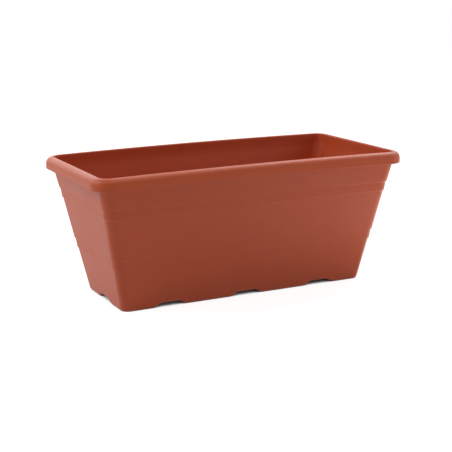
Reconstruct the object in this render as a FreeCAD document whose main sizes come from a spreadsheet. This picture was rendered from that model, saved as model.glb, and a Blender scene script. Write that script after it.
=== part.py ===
import FreeCAD, Part
import math
import os
import re
import Sketcher
from FreeCAD import Vector

# A window box for plants: one thin-walled trough moulded in terracotta plastic, and the six
# drain plugs that are pushed into the holes in its floor from inside.
# X runs along the box, the front is at -Y, and the origin is on the ground under its middle.

# ---------------------------------------------------------------- driving sizes, millimetres
SIZES = {
    # the rim: a flange that turns outward and hangs down as a skirt, with an open groove behind
    "rim_length": 400.0,       # outside length over the rim
    "rim_width": 200.0,        # outside width over the rim
    "rim_height": 165.0,       # ground to the top of the rim
    "rim_drop": 13.6,          # top of the rim to the lower edge of the skirt
    "rim_overhang": 8.9,       # how far the skirt stands out from the wall at that lower edge
    "rim_shoulder": 8.0,       # radius of the rounded outer shoulder
    "rim_lip": 1.5,            # rounding of the inner edge
    "flange_thick": 2.2,
    "skirt_thick": 2.0,
    "skirt_lean": 0.2,         # the skirt's foot stands this much further out than its top
    "skirt_edge": 0.6,         # bevel of the skirt's lower edge, outside
    "groove_round": 5.0,       # rounding of the groove's roof that keeps the shoulder's wall even
    "neck_inset": 2.3,         # above the skirt's lower edge the wall stands upright: set in at the top
    # the walls
    "base_length": 319.0,      # outside length of the walls at the ground
    "base_width": 121.0,       # outside width of the walls at the ground
    "top_corner": 14.0,        # upright corner radius at the lower edge of the skirt
    "base_corner": 10.0,       # upright corner radius at the ground
    "wall_thick": 2.2,
    # the two raised bands: at each of their edges the wall steps in, going down
    "upper_band": 23.4,        # lower edge of the skirt down to the upper band
    "lower_band": 66.1,        # ground up to the top of the lower band
    "band_width": 11.6,
    "step_depth": 0.9,
    "step_drop": 1.0,
    # the floor and the feet that the arched channels leave standing
    "floor_thick": 2.2,
    "floor_edge": 2.5,         # rounding between floor and wall, inside
    "foot_edge": 3.5,          # rounding between floor and wall, outside
    "arch_width": 40.0,        # width of an arch at the ground
    "arch_roof": 24.0,         # width of its flat roof
    "arch_height": 5.0,
    "arch_round": 4.0,         # radius where its flanks meet the roof and the ground
    "arch_pitch": 100.0,       # from one cross channel to the next
    # the drain holes and their plugs
    "drain_bore": 10.0,        # diameter of a drain hole
    "drain_rows": 60.0,        # from the front row of holes to the back row
    "plug_clearance": 0.05,    # radial gap between a plug's stem and its hole
    "plug_brim": 3.0,          # how far a plug's head reaches past the edge of the hole
    "plug_head": 2.0,          # thickness of the head
    "plug_wall": 1.3,          # wall of the hollow stem
    "plug_reach": 1.4,         # how far the stem stands out below the floor
}
COLUMNS = (("left", -1), ("centre", 0), ("right", 1))
ROWS = (("front", -1), ("back", 1))
OVERCUT = 1.0                  # how far a cutting solid runs past the face that it cuts
EDGE_BANDS = 3                 # flat bands that make up a rounding where the wall turns level
SHOULDER_BANDS = 5             # and the rim's shoulder
GROOVE_BANDS = 2               # and the rounding in the roof of the rim's groove

doc = FreeCAD.newDocument("window_box")
sheet = doc.addObject("Spreadsheet::Sheet", "sizes")
for row, (alias, value) in enumerate(SIZES.items(), start=1):
    sheet.set(f"A{row}", alias)
    sheet.set(f"B{row}", str(value))
    sheet.setAlias(f"B{row}", alias)
doc.recompute()


# ---------------------------------------------------------------- shared ways of drawing
def linked(formula):
    """The formula with each size in it read from the sheet."""
    return re.sub("|".join(rf"\b{alias}\b" for alias in SIZES), lambda found: "sizes." + found[0], formula)


def number(formula):
    """What the formula comes to with the sheet's present sizes."""
    return float(sheet.evalExpression(formula))


def new_body(label):
    body = doc.addObject("PartDesign::Body", label)
    body.Label = label
    return body


def sketch_on(body, name, plane):
    """An empty sketch on one of the body's own origin planes."""
    sketch = body.newObject("Sketcher::SketchObject", name)
    support = next(item for item in body.Origin.OriginFeatures if item.Role == plane)
    sketch.AttachmentSupport = [(support, "")]
    sketch.MapMode = "FlatFace"
    return sketch


def constrain(sketch, kind, *what, name=None, formula=None):
    """Adds a constraint; a dimension gets a name and follows its formula."""
    if formula is None:
        sketch.addConstraint(Sketcher.Constraint(kind, *what))
        return
    index = sketch.addConstraint(Sketcher.Constraint(kind, *what, number(formula)))
    sketch.renameConstraint(index, name)
    sketch.setExpression(f"Constraints.{name}", linked(formula))


def line(sketch, start, end):
    return sketch.addGeometry(Part.LineSegment(Vector(*start, 0), Vector(*end, 0)))


def arc(sketch, centre, radius, start_degrees, end_degrees):
    circle = Part.Circle(Vector(*centre, 0), Vector(0, 0, 1), radius)
    start, end = math.radians(start_degrees), math.radians(end_degrees)
    return sketch.addGeometry(Part.ArcOfCircle(circle, start, end))


def rounded_rectangle(body, name, level, length, width, corner):
    """A level rounded rectangle about the middle of the box, at a height above the ground."""
    sketch = sketch_on(body, name, "XY_Plane")
    sketch.setExpression("AttachmentOffset.Base.z", linked(level))
    x, y, r = number(length) / 2, number(width) / 2, number(corner)
    front = line(sketch, (r - x, -y), (x - r, -y))
    right = line(sketch, (x, r - y), (x, y - r))
    back = line(sketch, (x - r, y), (r - x, y))
    left = line(sketch, (-x, y - r), (-x, r - y))
    front_right = arc(sketch, (x - r, r - y), r, 270, 360)
    back_right = arc(sketch, (x - r, y - r), r, 0, 90)
    back_left = arc(sketch, (r - x, y - r), r, 90, 180)
    front_left = arc(sketch, (r - x, r - y), r, 180, 270)
    round_trip = (front, front_right, right, back_right, back, back_left, left, front_left)
    for here, following in zip(round_trip, round_trip[1:] + round_trip[:1]):
        constrain(sketch, "Tangent", here, 2, following, 1)
    constrain(sketch, "Horizontal", back)
    constrain(sketch, "Vertical", left)
    for other in (back_right, back_left, front_left):
        constrain(sketch, "Equal", front_right, other)
    constrain(sketch, "Symmetric", front, 1, front, 2, -2)
    constrain(sketch, "Symmetric", right, 1, right, 2, -1)
    constrain(sketch, "DistanceX", left, 1, right, 1, name="length", formula=length)
    constrain(sketch, "DistanceY", front, 1, back, 1, name="width", formula=width)
    constrain(sketch, "Radius", front_right, name="corner", formula=corner)
    return sketch


def loft(body, name, sketches, kind="PartDesign::AdditiveLoft"):
    """A loft with straight rulings. Its sketches run from the top down, so that its faces point outward."""
    feature = body.newObject(kind, name)
    feature.Profile = sketches[0]
    feature.Sections = sketches[1:]
    feature.Ruled = True
    doc.recompute()
    return feature


# ---------------------------------------------------------------- the tapering, stepped wall
SKIRT_FOOT = "(rim_height - rim_drop)"
UPPER_BAND = f"({SKIRT_FOOT} - upper_band)"
STEPS = (UPPER_BAND, f"({UPPER_BAND} - band_width)", "lower_band", "(lower_band - band_width)")


def wall_section(body, level, inward):
    """The wall's outline at one height, set in from the plain outer taper."""
    rise = f"({level}) / {SKIRT_FOOT}"
    length = f"base_length + (rim_length - 2 * rim_overhang - base_length) * {rise} - 2 * ({inward})"
    width = f"base_width + (rim_width - 2 * rim_overhang - base_width) * {rise} - 2 * ({inward})"
    corner = f"base_corner + (top_corner - base_corner) * {rise} - ({inward})"
    return rounded_rectangle(body, "wall_outline", level, length, width, corner)


def turned_edge(level, inward, radius, up, inside, bands=EDGE_BANDS):
    """Levels and insets, from the top down, where an upright wall turns to a level face, in flat bands.
    Up is 1 where the level face is at the foot of the turn and -1 where it is on top of it; inside is 1
    where the wall turns toward the middle of the box and -1 where it turns outward."""
    turns = [90 * turn / bands for turn in range(bands + 1)]
    stations = [(f"{level} + {up} * {radius} * (1 - sin({degrees}))",
                 f"{inward} + {inside} * {radius} * (1 - cos({degrees}))") for degrees in turns]
    return stations[::up]


def stepped_panels(inward):
    """Levels and insets of the panels. Each ends flush at its foot, and the next starts set in."""
    panels = []
    for step in STEPS:
        panels += [(step, inward), (f"{step} - step_drop", f"{inward} + step_depth")]
    return panels


def wall_loft(body, stations):
    """The walls from the top down, through an outline at each level and inset."""
    return loft(body, "walls", [wall_section(body, level, inward) for level, inward in stations])


# ---------------------------------------------------------------- the channels under the floor
def arch_profile(body, name, plane, raised):
    """An arch with a flat roof and sloping flanks, rounded at the roof and where it meets the ground."""
    sketch = sketch_on(body, name, plane)
    sketch.setExpression("AttachmentOffset.Base.y", linked(raised))
    roof, foot, top = number("arch_roof / 2"), number("arch_width / 2"), number("arch_height")
    r = number("arch_round")
    slope = math.atan2(top, foot - roof)
    cut_back = r * math.tan(slope / 2)
    run, rise = cut_back * math.cos(slope), cut_back * math.sin(slope)
    flank_degrees = 90 - math.degrees(slope)
    below = line(sketch, (-foot - cut_back, -OVERCUT), (foot + cut_back, -OVERCUT))
    right_side = line(sketch, (foot + cut_back, -OVERCUT), (foot + cut_back, 0))
    right_foot = arc(sketch, (foot + cut_back, r), r, 180 + flank_degrees, 270)
    right_flank = line(sketch, (foot - run, rise), (roof + run, top - rise))
    right_roof = arc(sketch, (roof - cut_back, top - r), r, flank_degrees, 90)
    crown = line(sketch, (roof - cut_back, top), (cut_back - roof, top))
    left_roof = arc(sketch, (cut_back - roof, top - r), r, 90, 180 - flank_degrees)
    left_flank = line(sketch, (-roof - run, top - rise), (run - foot, rise))
    left_foot = arc(sketch, (-foot - cut_back, r), r, 270, 360 - flank_degrees)
    left_side = line(sketch, (-foot - cut_back, 0), (-foot - cut_back, -OVERCUT))
    constrain(sketch, "Coincident", below, 2, right_side, 1)
    constrain(sketch, "Coincident", right_side, 2, right_foot, 2)
    constrain(sketch, "Tangent", right_foot, 1, right_flank, 1)
    constrain(sketch, "Tangent", right_flank, 2, right_roof, 1)
    constrain(sketch, "Tangent", right_roof, 2, crown, 1)
    constrain(sketch, "Tangent", crown, 2, left_roof, 1)
    constrain(sketch, "Tangent", left_roof, 2, left_flank, 1)
    constrain(sketch, "Tangent", left_flank, 2, left_foot, 2)
    constrain(sketch, "Coincident", left_foot, 1, left_side, 1)
    constrain(sketch, "Coincident", left_side, 2, below, 1)
    constrain(sketch, "Horizontal", below)
    constrain(sketch, "Vertical", right_side)
    constrain(sketch, "Vertical", left_side)
    for curve in (right_foot, left_roof):
        constrain(sketch, "Equal", right_roof, curve)
    constrain(sketch, "PointOnObject", right_foot, 2, -1)
    constrain(sketch, "Vertical", right_foot, 3, right_foot, 2)
    constrain(sketch, "Symmetric", right_foot, 2, left_foot, 1, -2)
    constrain(sketch, "Symmetric", right_flank, 2, left_flank, 1, -2)
    constrain(sketch, "Symmetric", right_flank, 1, left_flank, 2, -2)
    constrain(sketch, "DistanceY", below, 1, -1, 1, name="overcut", formula=f"{OVERCUT}")
    constrain(sketch, "Radius", right_roof, name="round", formula="arch_round")
    constrain(sketch, "DistanceY", -1, 1, crown, 1, name="height", formula="arch_height")
    flank_angle = "atan(arch_height / (arch_width / 2 - arch_roof / 2))"
    rounding = f"arch_round * tan({flank_angle} / 2)"
    constrain(sketch, "DistanceX", crown, 2, crown, 1, name="roof", formula=f"arch_roof - 2 * {rounding}")
    constrain(sketch, "DistanceX", below, 1, below, 2, name="foot", formula=f"arch_width + 2 * {rounding}")
    return sketch


def channels(body, raised):
    """Cuts the three cross channels and the one that runs the length of the box."""
    before = body.Tip.Shape.Volume
    across = arch_profile(body, "cross_arch", "XZ_Plane", raised)
    across.setExpression("AttachmentOffset.Base.x", linked("-arch_pitch"))
    cross = body.newObject("PartDesign::Pocket", "cross_channel")
    cross.Profile = across
    cross.Midplane = True
    cross.setExpression("Length", linked("2 * rim_width"))
    doc.recompute()
    row = body.newObject("PartDesign::LinearPattern", "cross_channels")
    row.Originals = [cross]
    row.Direction = (across, ["H_Axis"])
    row.setExpression("Length", linked("2 * arch_pitch"))
    row.Occurrences = len(COLUMNS)
    body.Tip = row
    doc.recompute()
    along = arch_profile(body, "long_arch", "YZ_Plane", raised)
    lengthwise = body.newObject("PartDesign::Pocket", "long_channel")
    lengthwise.Profile = along
    lengthwise.Midplane = True
    lengthwise.setExpression("Length", linked("2 * rim_length"))
    doc.recompute()
    print("channels take away", round(before - body.Tip.Shape.Volume), "mm3")
    return lengthwise


# ---------------------------------------------------------------- the hollow of the box
def hollow_block():
    """The space inside the box as a solid, with the ridges that the channels push up through its floor."""
    body = new_body("hollow")
    lip = turned_edge("rim_height", "wall_thick + neck_inset", "rim_lip", -1, -1)
    above = (f"rim_height + {OVERCUT}", "wall_thick + neck_inset - rim_lip")
    neck = (SKIRT_FOOT, "wall_thick")
    floor = turned_edge("floor_thick", "wall_thick", "floor_edge", 1, 1)
    wall_loft(body, [above] + lip + [neck] + stepped_panels("wall_thick") + floor)
    channels(body, "floor_thick")
    return body


# ---------------------------------------------------------------- the moulded trough
def rim_loft(body, name, stations, kind="PartDesign::AdditiveLoft"):
    """A loft from the top down through the rim's outline, set in by so much at each level."""
    outlines = []
    for level, inward in stations:
        outlines.append(rounded_rectangle(body, f"{name}_outline", level, f"rim_length - 2 * ({inward})",
                                          f"rim_width - 2 * ({inward})",
                                          f"top_corner + rim_overhang - ({inward})"))
    return loft(body, name, outlines, kind)


def trough():
    body = new_body("trough")

    # the rim as a solid slab with a rounded shoulder, then hollowed from below
    shoulder = turned_edge("rim_height", "skirt_lean", "rim_shoulder", -1, 1, SHOULDER_BANDS)
    skirt = [(f"{SKIRT_FOOT} + skirt_edge", "0"), (SKIRT_FOOT, "skirt_edge")]
    rim_loft(body, "rim", shoulder + skirt)
    groove_roof = turned_edge("(rim_height - flange_thick)", "skirt_thick + skirt_lean", "groove_round",
                              -1, 1, GROOVE_BANDS)
    rim_loft(body, "rim_groove", groove_roof + [(SKIRT_FOOT, "skirt_thick")], "PartDesign::SubtractiveLoft")

    # the solid walls, with their upright neck, steps and rounded foot, and the channels under them
    neck = [("rim_height", "neck_inset"), (SKIRT_FOOT, "0")]
    wall_loft(body, neck + stepped_panels("0") + turned_edge("0", "0", "foot_edge", 1, 1))
    channels(body, "0")

    # hollowed out
    hollow = body.newObject("PartDesign::Boolean", "hollowed")
    hollow.Type = "Cut"
    hollow.setObjects([hollow_block()])
    doc.recompute()

    # drain holes through the roofs of the cross channels, two to a channel
    before = body.Tip.Shape.Volume
    spot = sketch_on(body, "drain_spot", "XY_Plane")
    hole = spot.addGeometry(Part.Circle(Vector(number("-arch_pitch"), number("-drain_rows / 2"), 0),
                                        Vector(0, 0, 1), number("drain_bore / 2")))
    constrain(spot, "Diameter", hole, name="bore", formula="drain_bore")
    constrain(spot, "DistanceX", hole, 3, -1, 1, name="column", formula="arch_pitch")
    constrain(spot, "DistanceY", hole, 3, -1, 1, name="row", formula="drain_rows / 2")
    drain = body.newObject("PartDesign::Pocket", "drain_hole")
    drain.Profile = spot
    drain.Reversed = True
    drain.setExpression("Length", linked(f"arch_height + floor_thick + {OVERCUT}"))
    doc.recompute()
    drains = body.newObject("PartDesign::LinearPattern", "drain_holes")
    drains.Originals = [drain]
    drains.Direction = (spot, ["H_Axis"])
    drains.setExpression("Length", linked("2 * arch_pitch"))
    drains.Occurrences = len(COLUMNS)
    drains.Direction2 = (spot, ["V_Axis"])
    drains.setExpression("Length2", linked("drain_rows"))
    drains.Occurrences2 = len(ROWS)
    body.Tip = drains
    doc.recompute()
    print("drain holes take away", round(before - body.Tip.Shape.Volume), "mm3")
    return body


# ---------------------------------------------------------------- the drain plugs
def drain_plug(label, column, row):
    """A push-in plug: a round head that rests on the floor, and a hollow stem in the hole."""
    body = new_body(label)
    profile = sketch_on(body, f"{label}_profile", "XZ_Plane")
    stem = number("drain_bore / 2 - plug_clearance")
    bore = number("drain_bore / 2 - plug_clearance - plug_wall")
    brim = number("drain_bore / 2 + plug_brim")
    head, tip = number("plug_head"), number("-floor_thick - plug_reach")
    axis = line(profile, (0, 0), (0, head))
    top = line(profile, (0, head), (brim, head))
    edge = line(profile, (brim, head), (brim, 0))
    seat = line(profile, (brim, 0), (stem, 0))
    outer = line(profile, (stem, 0), (stem, tip))
    end = line(profile, (stem, tip), (bore, tip))
    inner = line(profile, (bore, tip), (bore, 0))
    ceiling = line(profile, (bore, 0), (0, 0))
    outline = (axis, top, edge, seat, outer, end, inner, ceiling)
    for here, following in zip(outline, outline[1:] + outline[:1]):
        constrain(profile, "Coincident", here, 2, following, 1)
    for upright in (axis, edge, outer, inner):
        constrain(profile, "Vertical", upright)
    for level in (top, seat, end, ceiling):
        constrain(profile, "Horizontal", level)
    constrain(profile, "Coincident", axis, 1, -1, 1)
    constrain(profile, "PointOnObject", seat, 1, -1)
    constrain(profile, "DistanceX", -1, 1, edge, 1, name="brim", formula="drain_bore / 2 + plug_brim")
    constrain(profile, "DistanceX", -1, 1, outer, 1, name="stem", formula="drain_bore / 2 - plug_clearance")
    constrain(profile, "DistanceX", inner, 1, outer, 1, name="stem_wall", formula="plug_wall")
    constrain(profile, "DistanceY", -1, 1, axis, 2, name="head", formula="plug_head")
    constrain(profile, "DistanceY", end, 1, -1, 1, name="tip", formula="floor_thick + plug_reach")
    turned = body.newObject("PartDesign::Revolution", f"{label}_turned")
    turned.Profile = profile
    turned.ReferenceAxis = (profile, ["V_Axis"])
    turned.Angle = 360
    body.setExpression("Placement.Base.x", linked(f"{column} * arch_pitch"))
    body.setExpression("Placement.Base.y", linked(f"{row} * drain_rows / 2"))
    body.setExpression("Placement.Base.z", linked("arch_height + floor_thick"))
    doc.recompute()
    return body


# ---------------------------------------------------------------- build, check and write
subparts = [trough()]
for row_name, row_side in ROWS:
    for column_name, column_side in COLUMNS:
        subparts.append(drain_plug(f"drain_plug_{row_name}_{column_name}", column_side, row_side))
doc.recompute()

failed = [item.Name for item in doc.Objects if "Invalid" in item.State or "Error" in item.State]
if failed:
    raise SystemExit(f"these objects failed: {failed}")
os.makedirs("parts", exist_ok=True)
for subpart in subparts:
    shape = subpart.Shape
    if shape.isNull() or not shape.isValid():
        raise SystemExit(f"{subpart.Label} has no valid shape")
    shape.exportStep(f"parts/{subpart.Label}.step")
    print(f"{subpart.Label}: {len(shape.Solids)} solid, {len(shape.Faces)} faces, {shape.Volume:.1f} mm3")
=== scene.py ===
import math

import bmesh
import bpy
from mathutils import Matrix, Vector


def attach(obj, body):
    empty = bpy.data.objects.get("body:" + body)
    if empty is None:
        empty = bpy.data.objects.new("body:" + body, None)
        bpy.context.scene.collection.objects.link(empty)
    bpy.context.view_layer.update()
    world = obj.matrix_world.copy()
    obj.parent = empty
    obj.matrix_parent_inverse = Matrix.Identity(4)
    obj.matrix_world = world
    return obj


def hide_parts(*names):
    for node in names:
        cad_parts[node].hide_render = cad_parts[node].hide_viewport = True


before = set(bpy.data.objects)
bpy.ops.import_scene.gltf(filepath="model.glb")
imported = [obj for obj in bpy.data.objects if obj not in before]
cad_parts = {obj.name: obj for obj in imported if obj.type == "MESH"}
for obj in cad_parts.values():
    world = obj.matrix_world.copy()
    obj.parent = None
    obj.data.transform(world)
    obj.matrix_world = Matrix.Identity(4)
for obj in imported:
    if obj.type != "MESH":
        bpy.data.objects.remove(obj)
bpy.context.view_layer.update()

# ---------------------------------------------------------------- the trough
# One injection moulding, about 2 mm thick all over: walls that taper down past four step lines, a
# rim turned out and down over an open groove, and a floor that is pushed up in crossing channels,
# which leave eight flat feet. Six drain holes are punched through the channels' roofs.
PLASTIC_COLOUR = (0.51, 0.080, 0.022)   # terracotta polypropylene, dyed right through
CLOUD_COLOUR = (0.525, 0.085, 0.024)    # the melt cools in faint lighter clouds
CLOUD_SCALE = 30.0              # clouds to a metre
GRAIN_SCALE = 1800.0            # grains of the spark-eroded mould to a metre
GRAIN_DEPTH = 0.00005
PLASTIC_ROUGHNESS = 0.44
ROUGHNESS_SPREAD = 0.04         # the clouds show in the gloss too
PLASTIC_IOR = 1.49
PLASTIC_SPECULAR = 0.34         # the grain swallows part of the gloss
RIM_HALF_LENGTH = 0.2000        # half the length over the rim, at the skirt's foot
RIM_HEIGHT = 0.1650
RIM_CORNER = 0.0229             # corner radius over the rim
SKIRT_FOOT = 0.1514             # height of the skirt's lower edge
SKIRT_WALL = 0.0020
SKIRT_LEAN = 0.0002             # the skirt's foot stands this much further out than its top
SHOULDER_RADIUS = 0.0080
GROOVE_RADIUS = 0.0050          # rounding in the roof of the groove
FLANGE_WALL = 0.0022
LIP_RADIUS = 0.0015
NECK_HALF_LENGTH = 0.1911       # half the length over the walls, at the height of the skirt's foot
NECK_CORNER = 0.0140
END_SAG = 0.0018                # the moulding has crept: its ends hang this much lower than its middle
SAG_START = 0.010               # not at all up to this height, where the feet hold it
SAG_END = 0.052                 # and fully from this one up
NECK_INSET = 0.0023             # above it the wall stands upright: how far it is set in at the top
BASE_HALF_LENGTH = 0.1595       # the same at the ground
BASE_CORNER = 0.0100
LENGTH_OVER_WIDTH = 0.1000      # half the length less half the width, the same all the way up
WALL = 0.0022
FLOOR_WALL = 0.0022
STEPS = (0.0545, 0.0661, 0.1164, 0.1280)   # heights at which the wall steps in, going down
STEP_DEPTH = 0.0009
INSIDE_STEP = 0.0005            # inside, the wall is smooth, and set in by the steps' middle depth
STEP_DROP = 0.0010
STEP_EDGE = 0.0006              # rounding of a step's proud edge
STEP_HOLLOW = 0.0004            # rounding in the corner under it
FOOT_EDGE = 0.0035              # rounding between wall and floor, outside
FLOOR_EDGE = 0.0025             # and inside
CHANNEL_PITCH = 0.1000          # from one cross channel to the next
CHANNEL_HEIGHT = 0.0050
CHANNEL_ROOF = 0.01085          # from a channel's middle to where its roof starts to fall
CHANNEL_FOOT = 0.02115          # and to where it has come down to the feet
FADE_START = 0.0045             # the wall gives way to a channel fully up to this height
FADE_END = 0.0165               # and not at all from this one up
DRAIN_BORE = 0.0100
DRAIN_ROWS = 0.0600             # from the front row of holes to the back row
SUPPORT = 0.0008                # a flat panel keeps a row of points this near to its rounded ends
CORNER_SEGMENTS = 14
SEAM = 2e-6                     # points of a seam or a pole closer than this are one
PUNCH_SIDES = 48
PUNCH_LENGTH = 0.05             # long enough to go through the floor from above and below
SHARP_ANGLE = math.radians(38)


def add_node(tree, kind, inputs=None, **settings):
    """A new node with its settings made; an input is a value or another node's socket."""
    node = tree.nodes.new(kind)
    for name, value in settings.items():
        setattr(node, name, value)
    for key, value in (inputs or {}).items():
        if isinstance(value, bpy.types.NodeSocket):
            tree.links.new(value, node.inputs[key])
        else:
            node.inputs[key].default_value = value
    return node


def terracotta(name, colour, cloud):
    """The dyed plastic: clouds in the colour, and a fine grain in the surface and in its gloss."""
    material = bpy.data.materials.new(name)
    material.use_nodes = True
    tree = material.node_tree
    shader = tree.nodes["Principled BSDF"]
    place = add_node(tree, "ShaderNodeTexCoord").outputs["Object"]
    clouds = add_node(tree, "ShaderNodeTexNoise", {"Vector": place, "Scale": CLOUD_SCALE, "Detail": 5.0,
                                                   "Roughness": 0.62})
    grain = add_node(tree, "ShaderNodeTexNoise", {"Vector": place, "Scale": GRAIN_SCALE, "Detail": 2.0,
                                                  "Roughness": 0.5})
    spread = add_node(tree, "ShaderNodeMapRange", {"Value": clouds.outputs["Fac"], "From Min": 0.35,
                                                   "From Max": 0.65})
    mix = add_node(tree, "ShaderNodeMix", {"Factor": spread.outputs["Result"], "A": (*colour, 1.0),
                                           "B": (*cloud, 1.0)}, data_type="RGBA")
    tree.links.new(mix.outputs["Result"], shader.inputs["Base Color"])
    gloss = add_node(tree, "ShaderNodeMapRange", {"Value": clouds.outputs["Fac"],
                                                  "From Min": 0.3, "From Max": 0.7,
                                                  "To Min": PLASTIC_ROUGHNESS - ROUGHNESS_SPREAD,
                                                  "To Max": PLASTIC_ROUGHNESS + ROUGHNESS_SPREAD})
    tree.links.new(gloss.outputs["Result"], shader.inputs["Roughness"])
    bump = add_node(tree, "ShaderNodeBump", {"Height": grain.outputs["Fac"], "Strength": 1.0,
                                             "Distance": GRAIN_DEPTH})
    tree.links.new(bump.outputs["Normal"], shader.inputs["Normal"])
    shader.inputs["IOR"].default_value = PLASTIC_IOR
    shader.inputs["Specular IOR Level"].default_value = PLASTIC_SPECULAR
    return material


trough_plastic = terracotta("terracotta_trough", PLASTIC_COLOUR, CLOUD_COLOUR)


def wall_point(height, inset=0.0):
    """The wall's section: half length, corner radius and height, set in from the plain outer taper."""
    share = height / SKIRT_FOOT
    inset += NECK_INSET * max(0.0, height - SKIRT_FOOT) / (RIM_HEIGHT - SKIRT_FOOT)
    half = BASE_HALF_LENGTH + (NECK_HALF_LENGTH - BASE_HALF_LENGTH) * share
    corner = BASE_CORNER + (NECK_CORNER - BASE_CORNER) * share
    return Vector((half - inset, corner - inset, height))


def rim_point(half, height):
    """The rim's section, whose corners all share one centre."""
    return Vector((half, RIM_CORNER - (RIM_HALF_LENGTH - half), height))


def floor_point(half_width, height):
    """A ring of the floor, whose corners shrink with it and end as plain ones."""
    base_half_width = BASE_HALF_LENGTH - LENGTH_OVER_WIDTH
    corner = max(0.0, BASE_CORNER - (base_half_width - half_width))
    return Vector((half_width + LENGTH_OVER_WIDTH, corner, height))


def reach(step):
    """How far two points of the section lie apart."""
    return math.hypot(step.x, step.z)


def rounded(corners):
    """The section's points. Each corner is a point, a radius, and how many points its arc has."""
    section = [corners[0][0]]
    for (before, _, _), (corner, radius, count), (after, _, _) in zip(corners, corners[1:], corners[2:]):
        arriving = (corner - before) / reach(corner - before)
        leaving = (after - corner) / reach(after - corner)
        turn = math.acos(max(-1.0, min(1.0, arriving.x * leaving.x + arriving.z * leaving.z)))
        arc = [corner]
        if radius > 0.0:
            cut = radius * math.tan(turn / 2)
            arc = []
            for i in range(count):
                angle = turn * i / (count - 1)
                sunk = radius * (1 - math.cos(angle))
                arc.append(corner + arriving * (radius * math.sin(angle) - cut - sunk / math.tan(turn))
                           + leaving * (sunk / math.sin(turn)))
        gap = arc[0] - section[-1]
        if reach(gap) > 3 * SUPPORT:
            support = gap * (SUPPORT / reach(gap))
            section += [section[-1] + support, arc[0] - support]
        section += arc
    return section + [corners[-1][0]]


def stepped(inset):
    """The corners of a wall's four steps, from the lowest up."""
    corners = []
    for step in STEPS:
        corners.append((wall_point(step - STEP_DROP, inset + STEP_DEPTH), STEP_HOLLOW, 4))
        corners.append((wall_point(step, inset), STEP_EDGE, 5))
    return corners


def flank(start, count=8):
    """Places across a channel's flank, from a start and on, where the surface needs them close."""
    return [start + (CHANNEL_FOOT - CHANNEL_ROOF) * i / count for i in range(count + 1)]


# the section runs from the middle of the underside out, up, over the rim and down to the floor
rings = [0.0, 0.004, 0.0075] + flank(CHANNEL_ROOF) + [0.0235, 0.028, 0.034, 0.040, 0.046, 0.051, 0.054]
fades = [FADE_START + (FADE_END - FADE_START) * i / 6 for i in range(7)]
roof = RIM_HEIGHT - FLANGE_WALL
outside = [(floor_point(ring, 0.0), 0.0, 1) for ring in rings]
outside += [(wall_point(0.0), FOOT_EDGE, 8)]
outside += [(wall_point(height, STEP_DEPTH * height / STEPS[0]), 0.0, 1) for height in fades]
outside += stepped(0.0) + [(wall_point(SKIRT_FOOT), 0.0060, 3)]
rim = [(wall_point(roof), 0.0006, 4),
       (rim_point(RIM_HALF_LENGTH - SKIRT_WALL - SKIRT_LEAN, roof), GROOVE_RADIUS, 7),
       (rim_point(RIM_HALF_LENGTH - SKIRT_WALL, SKIRT_FOOT), 0.0005, 4),
       (rim_point(RIM_HALF_LENGTH, SKIRT_FOOT), 0.0008, 5),
       (rim_point(RIM_HALF_LENGTH - SKIRT_LEAN, RIM_HEIGHT), SHOULDER_RADIUS, 14),
       (wall_point(RIM_HEIGHT, WALL), LIP_RADIUS, 7)]
inside = [(floor_point(ring, FLOOR_WALL), 0.0, 1) for ring in rings]
inside += [(wall_point(FLOOR_WALL, WALL), FLOOR_EDGE, 7)]
inside += [(wall_point(FLOOR_WALL + height, WALL + INSIDE_STEP * height / STEPS[0]), 0.0, 1)
           for height in fades]
inside += [(wall_point(height, WALL + INSIDE_STEP), 0.0, 1) for height in STEPS]
inside += [(wall_point(SKIRT_FOOT, WALL), 0.0600, 7)]
section = rounded(outside + rim + inside[::-1])
crest = max(range(len(section)), key=lambda i: section[i].z)


def channel_share(i):
    """How fully a point of the section follows the channels, and whether it moves out with the wall."""
    point = section[i]
    above = point.z - (0.0 if i < crest else FLOOR_WALL)
    share = max(0.0, min(1.0, (FADE_END - above) / (FADE_END - FADE_START)))
    return share, 1.0 if point.x > LENGTH_OVER_WIDTH + rings[-1] + 0.001 else 0.0


def points_object(name, places, attributes):
    """Loose points that carry the section or the plan into the node tree, with values at each."""
    mesh = bpy.data.meshes.new(name)
    mesh.from_pydata([tuple(place) for place in places], [], [])
    for key, values in attributes.items():
        vector = isinstance(values[0], tuple)
        layer = mesh.attributes.new(key, "FLOAT_VECTOR" if vector else "FLOAT", "POINT")
        for item, value in zip(layer.data, values):
            if vector:
                item.vector = value
            else:
                item.value = value
    points = bpy.data.objects.new(name, mesh)
    bpy.context.collection.objects.link(points)
    return points


# a quarter of the plan: places along the front, round the corner and along the right end
FAR = 1.0
front = [0.0, 0.0035, 0.0075] + flank(CHANNEL_ROOF)
front += [0.028, 0.036, 0.045, 0.055, 0.064, 0.072] + flank(CHANNEL_PITCH - CHANNEL_FOOT)
front += [0.0945, 0.100, 0.1055] + flank(CHANNEL_PITCH + CHANNEL_ROOF)
front += [0.127, 0.134, 0.141, 0.148, 0.156, 0.164, 0.171]
end = [0.0, 0.004, 0.0075] + flank(CHANNEL_ROOF) + [0.027, 0.033, 0.039, 0.045, 0.051, 0.059, 0.067]
quarter = [(x, FAR, 0.0) for x in front]
quarter += [(FAR, FAR, math.pi / 2 * i / CORNER_SEGMENTS) for i in range(CORNER_SEGMENTS + 1)]
quarter += [(FAR, y, math.pi / 2) for y in end[::-1]]
plan = []
quadrants = []
for side_x, side_y, places in ((1, -1, quarter), (1, 1, quarter[-2::-1]), (-1, 1, quarter[1:]),
                               (-1, -1, quarter[-2::-1])):
    plan += places
    quadrants += [(float(side_x), float(side_y), 0.0)] * len(places)


def named_input(tree, name, kind, default=None):
    """An input of a node tree, and the identifier that a modifier sets it by."""
    socket = tree.interface.new_socket(name, in_out="INPUT", socket_type=kind)
    if default is not None:
        socket.default_value = default
    return socket.identifier


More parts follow.
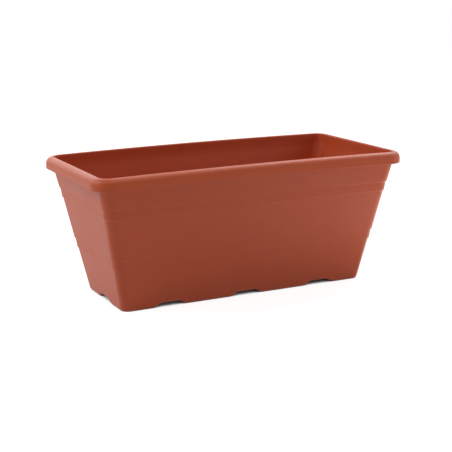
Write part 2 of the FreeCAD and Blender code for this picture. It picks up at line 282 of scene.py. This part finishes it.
def maths(tree, operation, *values, **settings):
    """A maths node's result; a value is a number or a socket."""
    node = add_node(tree, "ShaderNodeMath", dict(enumerate(values)), operation=operation, **settings)
    return node.outputs[0]


def vector_maths(tree, operation, *values):
    """A vector maths node's result."""
    return add_node(tree, "ShaderNodeVectorMath", dict(enumerate(values)), operation=operation).outputs[0]


def combined(tree, x=0.0, y=0.0, z=0.0):
    return add_node(tree, "ShaderNodeCombineXYZ", {"X": x, "Y": y, "Z": z}).outputs[0]


def separated(tree, vector):
    return add_node(tree, "ShaderNodeSeparateXYZ", {"Vector": vector}).outputs


def sampled(tree, points, name, kind, index):
    """What the points carry under a name, or their place, at an index."""
    if name is None:
        value = add_node(tree, "GeometryNodeInputPosition").outputs[0]
    else:
        value = add_node(tree, "GeometryNodeInputNamedAttribute", {"Name": name}, data_type=kind).outputs[0]
    node = add_node(tree, "GeometryNodeSampleIndex", {"Geometry": points, "Value": value, "Index": index},
                    data_type=kind, domain="POINT")
    return node.outputs[0]


def point_count(tree, points):
    return add_node(tree, "GeometryNodeAttributeDomainSize", {"Geometry": points}).outputs["Point Count"]


def swept_grid(tree, rows, columns):
    """A grid with a row for each point of the section and a column for each place it is swept to."""
    grid = add_node(tree, "GeometryNodeMeshGrid", {"Vertices X": columns, "Vertices Y": rows})
    index = add_node(tree, "GeometryNodeInputIndex").outputs[0]
    column = add_node(tree, "FunctionNodeIntegerMath", {0: index, 1: rows}, operation="DIVIDE_FLOOR")
    row = add_node(tree, "FunctionNodeIntegerMath", {0: index, 1: rows}, operation="MODULO")
    return grid.outputs["Mesh"], row.outputs[0], column.outputs[0]


def finished(tree, geometry, plastic):
    """Real geometry in its material, which is how each tree ends."""
    real = add_node(tree, "GeometryNodeRealizeInstances", {"Geometry": geometry}).outputs[0]
    return add_node(tree, "GeometryNodeSetMaterial", {"Geometry": real, "Material": plastic}).outputs[0]


def moulding_tree():
    """The section swept round the plan, with the channels pushed up and the drain holes punched."""
    tree = bpy.data.node_groups.new("moulded_trough", "GeometryNodeTree")
    ids = {"Section": named_input(tree, "Section", "NodeSocketGeometry")}
    tree.interface.new_socket("Trough", in_out="OUTPUT", socket_type="NodeSocketGeometry")
    for name, kind in (("Plan", "NodeSocketObject"), ("Plastic", "NodeSocketMaterial"),
                       ("Length over width", "NodeSocketFloat"), ("Channel pitch", "NodeSocketFloat"),
                       ("Channel height", "NodeSocketFloat"), ("Channel roof", "NodeSocketFloat"),
                       ("Channel foot", "NodeSocketFloat"), ("Wall slope", "NodeSocketFloat"),
                       ("Half length", "NodeSocketFloat"), ("End sag", "NodeSocketFloat"),
                       ("Sag start", "NodeSocketFloat"), ("Sag end", "NodeSocketFloat"),
                       ("Drain bore", "NodeSocketFloat"), ("Drain rows", "NodeSocketFloat")):
        ids[name] = named_input(tree, name, kind)
    given = add_node(tree, "NodeGroupInput").outputs
    plan_points = add_node(tree, "GeometryNodeObjectInfo", {"Object": given["Plan"]}).outputs["Geometry"]
    grid, row, column = swept_grid(tree, point_count(tree, given["Section"]), point_count(tree, plan_points))

    # where the section's half length and corner radius put each point of the plan
    half, corner, height = separated(tree, sampled(tree, given["Section"], None, "FLOAT_VECTOR", row))
    along, across, turn = separated(tree, sampled(tree, plan_points, None, "FLOAT_VECTOR", column))
    quadrant = sampled(tree, plan_points, "quadrant", "FLOAT_VECTOR", column)
    half_width = maths(tree, "SUBTRACT", half, given["Length over width"])
    centre = combined(tree, maths(tree, "SUBTRACT", half, corner),
                      maths(tree, "SUBTRACT", half_width, corner))
    straight = vector_maths(tree, "MINIMUM", combined(tree, along, across), centre)
    outward = combined(tree, maths(tree, "SINE", turn), maths(tree, "COSINE", turn))
    bend = vector_maths(tree, "MULTIPLY", outward, combined(tree, corner, corner))
    place = vector_maths(tree, "MULTIPLY", quadrant, vector_maths(tree, "ADD", straight, bend))
    outward = vector_maths(tree, "MULTIPLY", quadrant, outward)

    # how high the nearest channels lift it, and how far that moves it out along the sloping wall
    x, y, _ = separated(tree, place)
    nearest = maths(tree, "ROUND", maths(tree, "DIVIDE", x, given["Channel pitch"]))
    nearest = maths(tree, "MAXIMUM", maths(tree, "MINIMUM", nearest, 1.0), -1.0)
    nearest = maths(tree, "MULTIPLY", nearest, given["Channel pitch"])
    shares = []
    across_channel = maths(tree, "SUBTRACT", x, nearest)
    for distance in (maths(tree, "ABSOLUTE", across_channel), maths(tree, "ABSOLUTE", y)):
        fall = add_node(tree, "ShaderNodeMapRange", {"Value": distance, "From Min": given["Channel roof"],
                                                     "From Max": given["Channel foot"], "To Min": 1.0,
                                                     "To Max": 0.0}, interpolation_type="SMOOTHSTEP")
        shares.append(fall.outputs["Result"])
    both = maths(tree, "SUBTRACT", maths(tree, "ADD", *shares), maths(tree, "MULTIPLY", *shares))
    rise = sampled(tree, given["Section"], "rise", "FLOAT", row)
    lean = sampled(tree, given["Section"], "lean", "FLOAT", row)
    lift = maths(tree, "MULTIPLY", maths(tree, "MULTIPLY", both, given["Channel height"]), rise)
    push = maths(tree, "MULTIPLY", maths(tree, "MULTIPLY", lift, given["Wall slope"]), lean)
    pushed = vector_maths(tree, "MULTIPLY", outward, combined(tree, push, push))
    place = vector_maths(tree, "ADD", place, pushed)
    raised = maths(tree, "ADD", height, lift)

    # how far it hangs below its designed height, toward the ends of the box
    free = add_node(tree, "ShaderNodeMapRange", {"Value": raised, "From Min": given["Sag start"],
                                                 "From Max": given["Sag end"]},
                    interpolation_type="SMOOTHSTEP").outputs["Result"]
    from_middle = maths(tree, "POWER", maths(tree, "DIVIDE", x, given["Half length"]), 2.0)
    sag = maths(tree, "MULTIPLY", maths(tree, "MULTIPLY", from_middle, given["End sag"]), free)
    place = vector_maths(tree, "ADD", place, combined(tree, z=maths(tree, "SUBTRACT", raised, sag)))
    skin = add_node(tree, "GeometryNodeSetPosition", {"Geometry": grid, "Position": place}).outputs[0]
    skin = add_node(tree, "GeometryNodeMergeByDistance", {"Geometry": skin, "Distance": SEAM}).outputs[0]

    # the drain holes, two to a cross channel
    wide = maths(tree, "MULTIPLY", given["Channel pitch"], 2.0)
    spots = add_node(tree, "GeometryNodeMeshGrid", {"Size X": wide, "Size Y": given["Drain rows"],
                                                    "Vertices X": 3, "Vertices Y": 2}).outputs["Mesh"]
    bore = maths(tree, "DIVIDE", given["Drain bore"], 2.0)
    punch = add_node(tree, "GeometryNodeMeshCylinder", {"Vertices": PUNCH_SIDES, "Depth": PUNCH_LENGTH,
                                                        "Radius": bore}).outputs["Mesh"]
    punches = add_node(tree, "GeometryNodeInstanceOnPoints", {"Points": spots, "Instance": punch})
    punches = add_node(tree, "GeometryNodeRealizeInstances", {"Geometry": punches.outputs[0]}).outputs[0]
    holed = add_node(tree, "GeometryNodeMeshBoolean", {"Mesh 1": skin, "Mesh 2": punches},
                     operation="DIFFERENCE").outputs["Mesh"]
    add_node(tree, "NodeGroupOutput", {"Trough": finished(tree, holed, given["Plastic"])})
    return tree, ids


def made_mesh(points, tree, ids, values, name):
    """Runs a tree on the points and keeps the result as a plain, closed mesh object."""
    modifier = points.modifiers.new(name, "NODES")
    modifier.node_group = tree
    for key, value in values.items():
        modifier[ids[key]] = value
    made = bpy.data.meshes.new_from_object(points.evaluated_get(bpy.context.evaluated_depsgraph_get()))
    points.modifiers.remove(modifier)
    made.name = name
    work = bmesh.new()
    work.from_mesh(made)
    bmesh.ops.dissolve_degenerate(work, dist=1e-6, edges=work.edges)
    bmesh.ops.recalc_face_normals(work, faces=work.faces)
    work.to_mesh(made)
    work.free()
    made.shade_smooth()
    made.set_sharp_from_angle(angle=SHARP_ANGLE)
    piece = bpy.data.objects.new(name, made)
    bpy.context.collection.objects.link(piece)
    return piece


shares = [channel_share(i) for i in range(len(section))]
section_points = points_object("trough_section", section, {"rise": [share for share, _ in shares],
                                                           "lean": [lean for _, lean in shares]})
plan_points = points_object("trough_plan", plan, {"quadrant": quadrants})
tree, ids = moulding_tree()
low_panel = wall_point(STEPS[0] - STEP_DROP, STEP_DEPTH) - wall_point(FOOT_EDGE)
trough = made_mesh(section_points, tree, ids, {
    "Plan": plan_points, "Plastic": trough_plastic, "Length over width": LENGTH_OVER_WIDTH,
    "Channel pitch": CHANNEL_PITCH, "Channel height": CHANNEL_HEIGHT, "Channel roof": CHANNEL_ROOF,
    "Channel foot": CHANNEL_FOOT, "Wall slope": low_panel.x / low_panel.z,
    "Half length": RIM_HALF_LENGTH, "End sag": END_SAG, "Sag start": SAG_START, "Sag end": SAG_END,
    "Drain bore": DRAIN_BORE, "Drain rows": DRAIN_ROWS}, "trough_moulding")
bpy.data.objects.remove(section_points)
bpy.data.objects.remove(plan_points)
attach(trough, "trough")
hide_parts("trough")

# ---------------------------------------------------------------- the drain plugs
# Six stoppers of the same plastic, each turned about one axis: a round head with a softened edge that
# rests on the floor, and a hollow stem, chamfered to lead it into its hole. They pull out from above.
PLUG_COLOUR = (0.43, 0.066, 0.018)
PLUG_CLOUD_COLOUR = (0.445, 0.070, 0.020)
PLUG_SEAT = CHANNEL_HEIGHT + FLOOR_WALL   # height of the floor over a channel, which a head rests on
PLUG_HEAD_RADIUS = 0.0080
PLUG_HEAD = 0.0020              # thickness of the head
PLUG_HEAD_EDGE = 0.0008         # rounding of its upper edge
PLUG_DIMPLE = 0.0012            # radius of the sunk mark that the mould's gate leaves in the middle
PLUG_DIMPLE_DEPTH = 0.0002
PLUG_STEM_RADIUS = 0.00495
PLUG_STEM_WALL = 0.0013
PLUG_TIP = 0.0036               # height of the stem's end above the ground
PLUG_LEAD = 0.0005
PLUG_TURNS = 72


def turned_tree():
    """A section turned about an upright axis: each of its points holds a radius and a height."""
    tree = bpy.data.node_groups.new("turned_plug", "GeometryNodeTree")
    ids = {"Section": named_input(tree, "Section", "NodeSocketGeometry")}
    tree.interface.new_socket("Plug", in_out="OUTPUT", socket_type="NodeSocketGeometry")
    for name, kind in (("Place", "NodeSocketVector"), ("Turns", "NodeSocketInt"),
                       ("Plastic", "NodeSocketMaterial")):
        ids[name] = named_input(tree, name, kind)
    given = add_node(tree, "NodeGroupInput").outputs
    columns = add_node(tree, "FunctionNodeIntegerMath", {0: given["Turns"], 1: 1}, operation="ADD")
    grid, row, column = swept_grid(tree, point_count(tree, given["Section"]), columns.outputs[0])
    radius, _, height = separated(tree, sampled(tree, given["Section"], None, "FLOAT_VECTOR", row))
    turn = maths(tree, "DIVIDE", maths(tree, "MULTIPLY", column, math.tau), given["Turns"])
    place = combined(tree, maths(tree, "MULTIPLY", radius, maths(tree, "COSINE", turn)),
                     maths(tree, "MULTIPLY", radius, maths(tree, "SINE", turn)), height)
    place = vector_maths(tree, "ADD", place, given["Place"])
    skin = add_node(tree, "GeometryNodeSetPosition", {"Geometry": grid, "Position": place}).outputs[0]
    skin = add_node(tree, "GeometryNodeMergeByDistance", {"Geometry": skin, "Distance": SEAM}).outputs[0]
    add_node(tree, "NodeGroupOutput", {"Plug": finished(tree, skin, given["Plastic"])})
    return tree, ids


def plug_point(radius, height):
    """A point of the plug's section; its height is above the seat."""
    return Vector((radius, 0.0, PLUG_SEAT + height))


stem_bore = PLUG_STEM_RADIUS - PLUG_STEM_WALL
stem_end = PLUG_TIP - PLUG_SEAT
plug_section = rounded([(plug_point(0.0, PLUG_HEAD - PLUG_DIMPLE_DEPTH), 0.0, 1),
                        (plug_point(PLUG_DIMPLE, PLUG_HEAD - PLUG_DIMPLE_DEPTH), 0.0001, 3),
                        (plug_point(PLUG_DIMPLE + PLUG_DIMPLE_DEPTH, PLUG_HEAD), 0.0001, 3),
                        (plug_point(PLUG_HEAD_RADIUS, PLUG_HEAD), PLUG_HEAD_EDGE, 7),
                        (plug_point(PLUG_HEAD_RADIUS, 0.0), 0.0001, 3),
                        (plug_point(PLUG_STEM_RADIUS, 0.0), 0.0001, 3),
                        (plug_point(PLUG_STEM_RADIUS, stem_end + PLUG_LEAD), 0.0001, 3),
                        (plug_point(PLUG_STEM_RADIUS - PLUG_LEAD, stem_end), 0.0001, 3),
                        (plug_point(stem_bore, stem_end), 0.0002, 3),
                        (plug_point(stem_bore, -0.0001), 0.0002, 3),
                        (plug_point(0.0, -0.0001), 0.0, 1)])
plug_plastic = terracotta("terracotta_plug", PLUG_COLOUR, PLUG_CLOUD_COLOUR)
turned, turned_ids = turned_tree()
for row_name, across in (("front", -DRAIN_ROWS / 2), ("back", DRAIN_ROWS / 2)):
    for column_name, along in (("left", -CHANNEL_PITCH), ("centre", 0.0), ("right", CHANNEL_PITCH)):
        plug_name = f"plug_{row_name}_{column_name}"
        outline = points_object("plug_section", plug_section, {})
        plug = made_mesh(outline, turned, turned_ids, {
            "Place": (along, across, 0.0), "Turns": PLUG_TURNS, "Plastic": plug_plastic}, plug_name)
        bpy.data.objects.remove(outline)
        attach(plug, plug_name)
        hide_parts("drain_" + plug_name)

# ---------------------------------------------------------------- the floor
# A plain white studio floor that runs out to the horizon, and sends light back up at the box. To the
# eye, in gloss and through clear stuff it is white, and grey only in the shadow of the box: partly real
# shade from the lamps, and partly a painted contact shadow, where its glow is darkened under and beside the
# box.
FLOOR_SIZE = 60.0
FLOOR_COLOUR = (0.86, 0.86, 0.86, 1.0)
FLOOR_SHADOW_COLOUR = (0.25, 0.25, 0.25, 1.0)   # how much of the box's shadow is left to see
FLOOR_GLOW = 0.90               # near the box, where the lamps bring it up to white
FAR_FLOOR_GLOW = 1.0            # and out where they don't reach
LIT_FLOOR, FAR_FLOOR = 0.45, 1.5        # how far out one passes into the other
PAINTED_SHADOW_DARK, PAINTED_SHADOW_CLEAR = 0.04, 0.45    # how open the floor is where its painted contact shadow is darkest, and where it is clear
PAINTED_SHADOW_SAMPLES = 16
PAINTED_SHADOW_REACH = 0.020           # the floor's glow is darkened, a painted contact shadow, where something is this near over it


def looked_at(tree):
    """One for a ray from the eye, or from gloss or clear stuff that mirrors or shows what is behind."""
    ray = add_node(tree, "ShaderNodeLightPath").outputs
    mirrored = maths(tree, "MAXIMUM", ray["Is Glossy Ray"], ray["Is Transmission Ray"])
    return maths(tree, "MAXIMUM", ray["Is Camera Ray"], mirrored)


floor_mesh = bpy.data.meshes.new("studio_floor")
floor_mesh.from_pydata([(-FLOOR_SIZE, -FLOOR_SIZE, 0), (FLOOR_SIZE, -FLOOR_SIZE, 0),
                        (FLOOR_SIZE, FLOOR_SIZE, 0), (-FLOOR_SIZE, FLOOR_SIZE, 0)], [], [(0, 1, 2, 3)])
floor = bpy.data.objects.new("studio_floor", floor_mesh)
bpy.context.collection.objects.link(floor)
floor_material = bpy.data.materials.new("studio_white")
floor_material.use_nodes = True
tree = floor_material.node_tree
painted = tree.nodes["Principled BSDF"]
painted.inputs["Base Color"].default_value = FLOOR_COLOUR
painted.inputs["Roughness"].default_value = 0.9
# painted contact shadow: the floor's glow is darkened by how closed in it is under and beside the box
painted_shadow_openness = add_node(tree, "ShaderNodeAmbientOcclusion", {"Distance": PAINTED_SHADOW_REACH},
                    samples=PAINTED_SHADOW_SAMPLES).outputs["AO"]
painted_shadow_openness = add_node(tree, "ShaderNodeMapRange", {"Value": painted_shadow_openness, "From Min": PAINTED_SHADOW_DARK,
                                                 "From Max": PAINTED_SHADOW_CLEAR},
                    interpolation_type="SMOOTHSTEP").outputs["Result"]
spot = add_node(tree, "ShaderNodeTexCoord").outputs["Object"]
reach_out = add_node(tree, "ShaderNodeVectorMath", {0: spot}, operation="LENGTH").outputs["Value"]
brightness = add_node(tree, "ShaderNodeMapRange", {
    "Value": reach_out, "From Min": LIT_FLOOR, "From Max": FAR_FLOOR,
    "To Min": FLOOR_GLOW, "To Max": FAR_FLOOR_GLOW}).outputs["Result"]
# the floor's glow, with the painted contact shadow in it
glow = add_node(tree, "ShaderNodeEmission", {"Strength": maths(tree, "MULTIPLY", painted_shadow_openness, brightness)})
shaded = add_node(tree, "ShaderNodeBsdfDiffuse", {"Color": FLOOR_SHADOW_COLOUR})
seen = add_node(tree, "ShaderNodeAddShader", {0: glow.outputs[0], 1: shaded.outputs[0]})
either = add_node(tree, "ShaderNodeMixShader", {0: looked_at(tree), 1: painted.outputs[0],
                                                2: seen.outputs[0]})
tree.links.new(either.outputs[0], tree.nodes["Material Output"].inputs["Surface"])
floor_mesh.materials.append(floor_material)

# ---------------------------------------------------------------- light
# Soft lamps stand behind the box's two ends, and weaker ones right of its front, over its front and
# behind it. Two panels on the floor send light up the right end and the right of the front. The room
# itself gives hardly any, so the inside of the box stays dark, but its far wall is white to look at.
SURROUND_LIGHT = 0.02
SURROUND_WHITE = 1.0
LAMP_TARGET = Vector((0.0, 0.0, 0.08))
LAMP_DISTANCE = 2.6
LAMP_WIDTH, LAMP_HEIGHT = 1.6, 1.4
PANEL_CLEARANCE = 0.001         # a floor panel lies this far above the floor
world = bpy.data.worlds.new("studio_surround")
bpy.context.scene.world = world
world.use_nodes = True
tree = world.node_tree
room = add_node(tree, "ShaderNodeMapRange", {"Value": looked_at(tree), "To Min": SURROUND_LIGHT,
                                             "To Max": SURROUND_WHITE})
tree.links.new(room.outputs["Result"], tree.nodes["Background"].inputs["Strength"])
tree.nodes["Background"].inputs["Color"].default_value = (1, 1, 1, 1)


def soft_lamp(name, width, depth, power):
    """An oblong lamp with an even face; where it stands and which way it faces come after."""
    lamp = bpy.data.lights.new(name, "AREA")
    lamp.shape = "RECTANGLE"
    lamp.size = width
    lamp.size_y = depth
    lamp.energy = power
    stand = bpy.data.objects.new(name, lamp)
    bpy.context.collection.objects.link(stand)
    return stand


# each lamp's bearing from the front and its height are in degrees, and its power is in watts
for name, round_from_front, height, power in (
        ("left", -110, 40, 34.5), ("right", 120, 45, 32.4), ("right_front", 60, 18, 11.0),
        ("high_front", 0, 68, 15.0), ("back", 180, 18, 11.0)):
    stand = soft_lamp(name, LAMP_WIDTH, LAMP_HEIGHT, power)
    bearing, tilt = math.radians(round_from_front), math.radians(height)
    away = Vector((math.sin(bearing) * math.cos(tilt), -math.cos(bearing) * math.cos(tilt), math.sin(tilt)))
    stand.location = LAMP_TARGET + away * LAMP_DISTANCE
    stand.rotation_euler = away.to_track_quat("Z", "Y").to_euler()
for name, x, y, width, depth, power in (("floor_panel_right", 0.34, 0.0, 0.24, 0.50, 0.44),
                                        ("floor_panel_front", 0.20, -0.26, 0.28, 0.24, 0.08)):
    panel = soft_lamp(name, width, depth, power)
    panel.location = (x, y, PANEL_CLEARANCE)
    panel.rotation_euler = (math.pi, 0.0, 0.0)
    panel.visible_camera = False

# ---------------------------------------------------------------- the camera
# It looks down at the front left corner, from the photograph's place, and is turned a little askew.
CAMERA_PLACE = Vector((-0.6004, -1.2278, 0.3873))
CAMERA_TARGET = Vector((0.00184, 0.0, 0.07246))
CAMERA_ROLL = math.radians(-0.57)
CAMERA_LENS = 90.28
CAMERA_SENSOR = 36.0
camera = bpy.data.objects.new("camera", bpy.data.cameras.new("camera"))
camera.data.lens = CAMERA_LENS
camera.data.sensor_width = CAMERA_SENSOR
facing = (CAMERA_TARGET - CAMERA_PLACE).to_track_quat("-Z", "Y").to_matrix().to_4x4()
camera.matrix_world = Matrix.Translation(CAMERA_PLACE) @ facing @ Matrix.Rotation(CAMERA_ROLL, 4, "Z")
bpy.context.collection.objects.link(camera)
bpy.context.scene.camera = camera

bpy.context.scene.view_settings.view_transform = "Standard"
bpy.context.view_layer.update()
